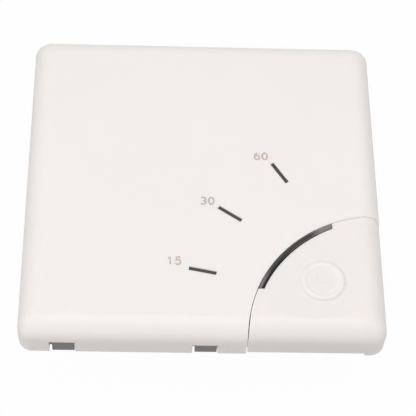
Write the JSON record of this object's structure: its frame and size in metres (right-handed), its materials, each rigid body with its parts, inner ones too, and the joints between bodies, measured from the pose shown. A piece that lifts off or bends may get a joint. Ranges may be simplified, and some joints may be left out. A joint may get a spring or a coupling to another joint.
{
  "type": "timer light switch",
  "caption": "Square single-gang wall switch whose rounded white cover has a dished corner push button, an arc-shaped indicator lens and a fan of time windows; the electronics stand behind it.",
  "frame": {"origin": "centre of the wall plane, on the back face of the mounting frame", "axes": "+Z out of the wall towards the room, +Y up the wall, +X to the right as seen from the room"},
  "size_m": [0.086, 0.086, 0.0326],
  "materials": {
    "cover_plastic": "glossy white moulding",
    "button_plastic": "glossy white moulding",
    "smoked_plastic": "smoked translucent",
    "lens_plastic": "dark glossy light guide",
    "frame_plastic": "fine matte texture",
    "housing_plastic": "fine matte texture",
    "terminal_plastic": "dark grey, satin",
    "light_box_plastic": "white, diffusing",
    "board_laminate": "solder mask, satin",
    "black_moulding": "satin",
    "light_chip": "clear over phosphor",
    "insulating_film": "thin film",
    "relay_plastic": "satin",
    "bobbin_plastic": "matte",
    "capacitor_film": "epoxy-sealed box",
    "can_sleeve": "shrunk sleeve",
    "varistor_coating": "dipped coating",
    "fuse_ceramic": "ceramic tube",
    "ferrite": "sintered",
    "copper_wire": "enamelled wire",
    "spring_steel": "bright wire and strip",
    "plated_steel": "zinc plated",
    "contact_metal": "tinned copper alloy"
  },
  "bodies": {
    "base": {"mounting_frame": "frame_plastic", "arc_lens": "lens_plastic", "window_lights": "light_chip", "arc_lights": "light_chip", "light_box": "light_box_plastic", "control_board": "board_laminate", "board_screws": "plated_steel", "tact_body": "black_moulding", "tact_dome": "spring_steel", "tact_shield": "spring_steel", "return_spring_1": "spring_steel", "return_spring_2": "spring_steel", "controller_chip": "black_moulding", "chip_resistors": "black_moulding", "header_body": "black_moulding", "header_pins": "contact_metal", "insulating_sheet": "insulating_film", "rear_housing": "housing_plastic", "housing_screws": "plated_steel", "power_board": "board_laminate", "relay_base": "black_moulding", "relay_pins": "contact_metal", "relay_case": "relay_plastic", "relay_yoke": "plated_steel", "relay_bobbin": "bobbin_plastic", "relay_winding": "copper_wire", "relay_core": "plated_steel", "fixed_contact": "contact_metal", "suppression_capacitor": "capacitor_film", "smoothing_capacitor": "can_sleeve", "varistor": "varistor_coating", "fuse_body": "fuse_ceramic", "fuse_caps": "contact_metal", "bridge_rectifier": "black_moulding", "choke_core": "ferrite", "choke_winding": "copper_wire", "terminal_block": "terminal_plastic", "terminal_tongues": "contact_metal"},
    "front_cover": {"front_cover": "cover_plastic", "window_15": "smoked_plastic", "window_30": "smoked_plastic", "window_60": "smoked_plastic"},
    "timer_button": {"timer_button": "button_plastic"},
    "tact_plunger": {"tact_plunger": "black_moulding"},
    "relay_armature": {"relay_armature": "plated_steel", "contact_blade": "contact_metal"},
    "terminal_screw_1": {"terminal_screw_1": "plated_steel"},
    "terminal_cage_1": {"terminal_cage_1": "plated_steel"},
    "terminal_screw_2": {"terminal_screw_2": "plated_steel"},
    "terminal_cage_2": {"terminal_cage_2": "plated_steel"},
    "terminal_screw_3": {"terminal_screw_3": "plated_steel"},
    "terminal_cage_3": {"terminal_cage_3": "plated_steel"}
  },
  "joints": [
    {"name": "cover_lift", "type": "slide", "parent": "base", "child": "front_cover", "axis": [0, 0, 1], "range_m": [0, 0.03]},
    {"name": "button_press", "type": "slide", "parent": "base", "child": "timer_button", "axis": [0, 0, -1], "range_m": [0, 0.0005], "stiffness_N_per_m": 1000, "springref_m": -0.0005, "deforming": ["return_spring_1", "return_spring_2"]},
    {"name": "plunger_press", "type": "slide", "parent": "base", "child": "tact_plunger", "axis": [0, 0, -1], "range_m": [0, 0.00025], "deforming": ["tact_dome"]},
    {"name": "armature_pull", "type": "hinge", "parent": "base", "child": "relay_armature", "pos_m": [-0.01815, 0.009, -0.0176], "axis": [0, -1, 0], "range_deg": [0, 2.9], "stiffness_Nm_per_rad": 0.02, "springref_deg": -2.86},
    {"name": "screw_turn_1", "type": "hinge", "parent": "base", "child": "terminal_screw_1", "pos_m": [-0.0078, -0.02075, -0.0201], "axis": [0, 0, -1], "range_deg": [0, 1260]},
    {"name": "cage_rise_1", "type": "slide", "parent": "base", "child": "terminal_cage_1", "axis": [0, 0, 1], "range_m": [0, 0.0021]},
    {"name": "screw_turn_2", "type": "hinge", "parent": "base", "child": "terminal_screw_2", "pos_m": [0, -0.02075, -0.0201], "axis": [0, 0, -1], "range_deg": [0, 1260]},
    {"name": "cage_rise_2", "type": "slide", "parent": "base", "child": "terminal_cage_2", "axis": [0, 0, 1], "range_m": [0, 0.0021]},
    {"name": "screw_turn_3", "type": "hinge", "parent": "base", "child": "terminal_screw_3", "pos_m": [0.0078, -0.02075, -0.0201], "axis": [0, 0, -1], "range_deg": [0, 1260]},
    {"name": "cage_rise_3", "type": "slide", "parent": "base", "child": "terminal_cage_3", "axis": [0, 0, 1], "range_m": [0, 0.0021]}
  ],
  "couplings": [
    {"joint": "plunger_press", "follows": "button_press", "ratio": 0.5},
    {"joint": "screw_turn_1", "follows": "cage_rise_1", "rad_per_m": 10471},
    {"joint": "screw_turn_2", "follows": "cage_rise_2", "rad_per_m": 10471},
    {"joint": "screw_turn_3", "follows": "cage_rise_3", "rad_per_m": 10471}
  ]
}
